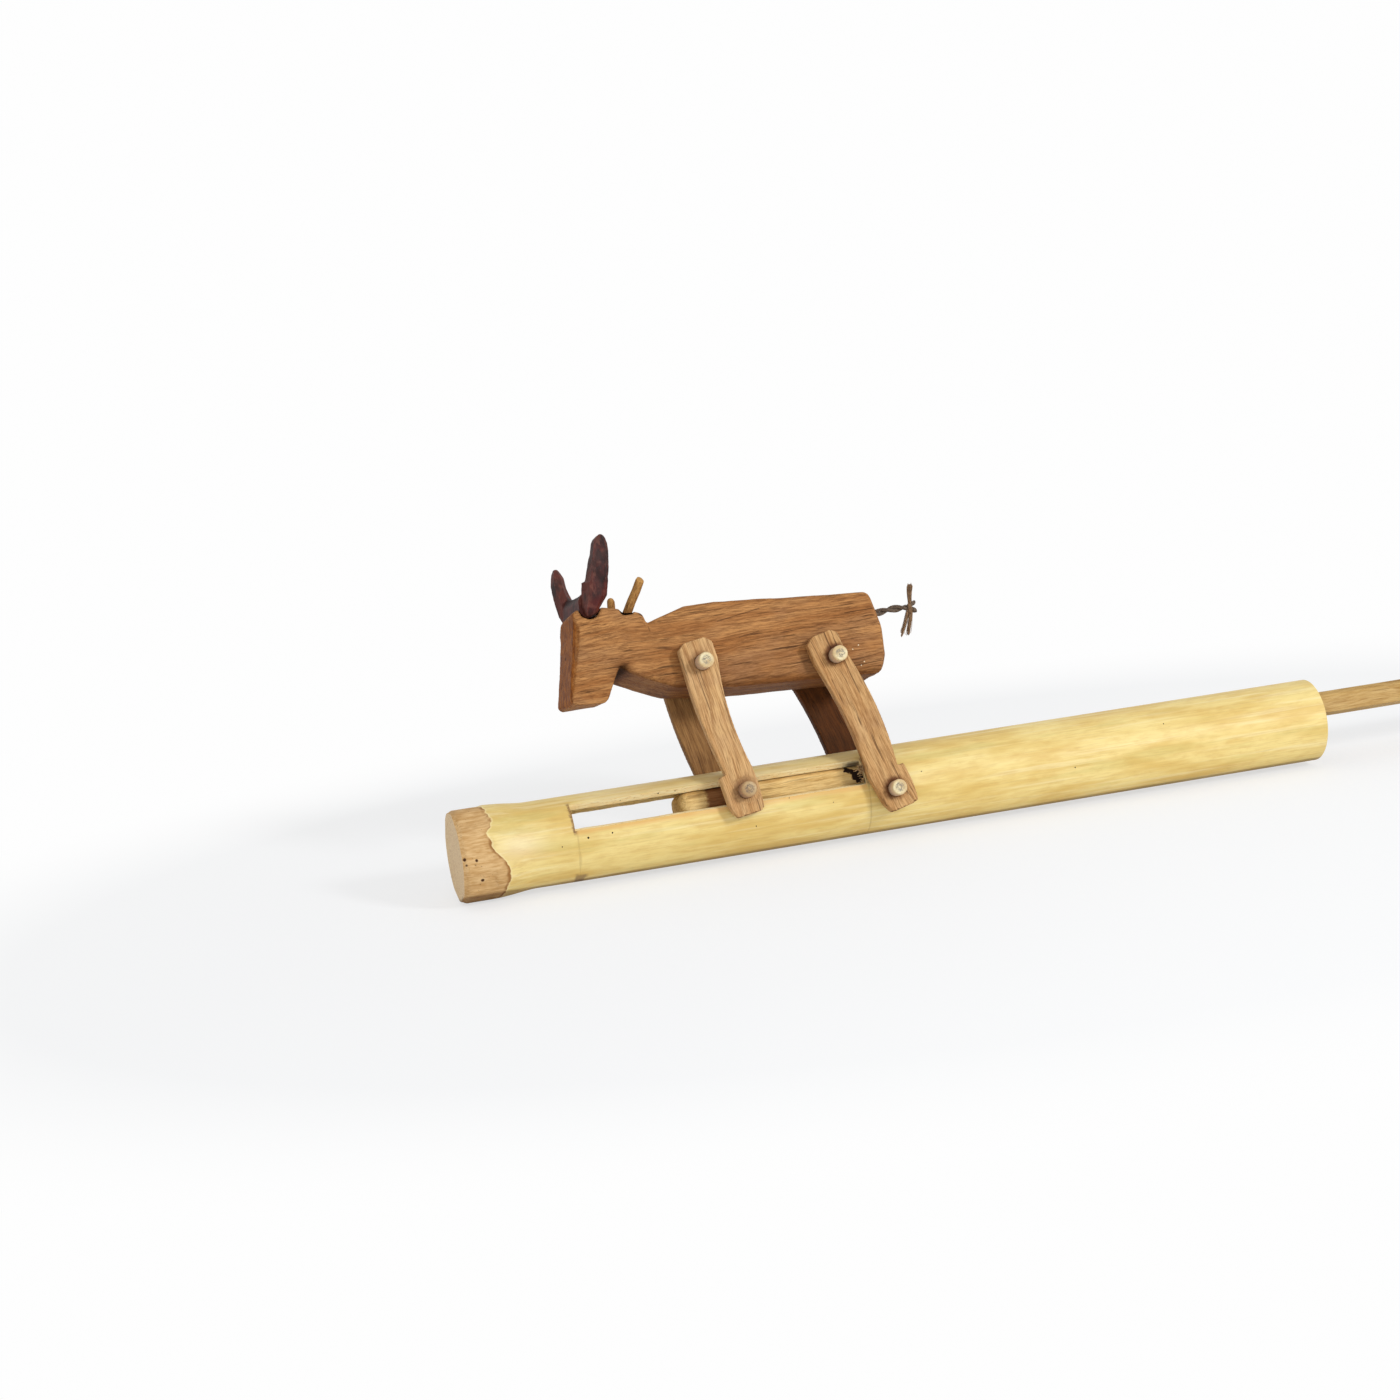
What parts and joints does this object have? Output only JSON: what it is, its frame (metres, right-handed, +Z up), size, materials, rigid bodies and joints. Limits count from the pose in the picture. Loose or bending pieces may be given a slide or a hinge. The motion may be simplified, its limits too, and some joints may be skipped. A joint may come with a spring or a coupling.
{
  "type": "bamboo jumping animal toy",
  "caption": "Bamboo tube toy: a push rod in a slot scissors the legs of a carved horned animal, so it jumps.",
  "frame": {"origin": "on the tube's axis, in the plane of its open hand end", "axes": "+X along the tube from the closed node end to the hand end, +Z up from the table that the toy lies on, -Y the side that the picture shows"},
  "size_m": [0.54, 0.0956, 0.1571],
  "materials": {
    "bamboo": "polished by handling, satin",
    "rod_wood": "raw",
    "body_wood": "raw open-grained hardwood",
    "leg_wood": "raw",
    "dark_leg_wood": "raw",
    "horn_wood": "dark, lightly polished",
    "pin_twig": "peeled twig with a pithy end",
    "peg_wood": "raw",
    "string": "coarse natural fibre, twisted"
  },
  "bodies": {
    "tube": {"bamboo_tube": "bamboo"},
    "rod": {"slider_rod": "rod_wood"},
    "front_legs": {"front_leg_near": "leg_wood", "front_leg_far": "leg_wood", "front_top_pin": "pin_twig", "front_bottom_pin": "pin_twig"},
    "rear_legs": {"rear_leg_near": "leg_wood", "rear_leg_far": "dark_leg_wood", "rear_top_pin": "pin_twig", "rear_bottom_pin": "pin_twig"},
    "animal": {"animal_body": "body_wood", "horns": "horn_wood", "ear_peg_near": "peg_wood", "ear_peg_far": "peg_wood", "tail_cord": "string", "tail_knot": "string", "tail_tufts": "string"}
  },
  "joints": [
    {"name": "rod_slide", "type": "slide", "parent": "tube", "child": "rod", "axis": [1, 0, 0], "range_m": [-0.06, 0.045]},
    {"name": "front_leg_swing", "type": "hinge", "parent": "rod", "child": "front_legs", "pos_m": [-0.2961, 0.00241, 0.007], "axis": [0, 0.9454, -0.3258], "range_deg": [-23, 30.5]},
    {"name": "rear_leg_swing", "type": "hinge", "parent": "tube", "child": "rear_legs", "pos_m": [-0.225, -0.00088, -0.00255], "axis": [0, 0.9454, -0.3258], "range_deg": [-28, 21]},
    {"name": "animal_rock", "type": "hinge", "parent": "rear_legs", "child": "animal", "pos_m": [-0.24186, 0.02052, 0.05953], "axis": [0, 0.9454, -0.3258], "range_deg": [-29.5, 39]}
  ],
  "couplings": [
    {"joint": "front_leg_swing", "follows": "rod_slide", "rad_per_m": -8.69},
    {"joint": "rear_leg_swing", "follows": "rod_slide", "rad_per_m": 8.03},
    {"joint": "animal_rock", "follows": "rod_slide", "rad_per_m": -11.22}
  ]
}
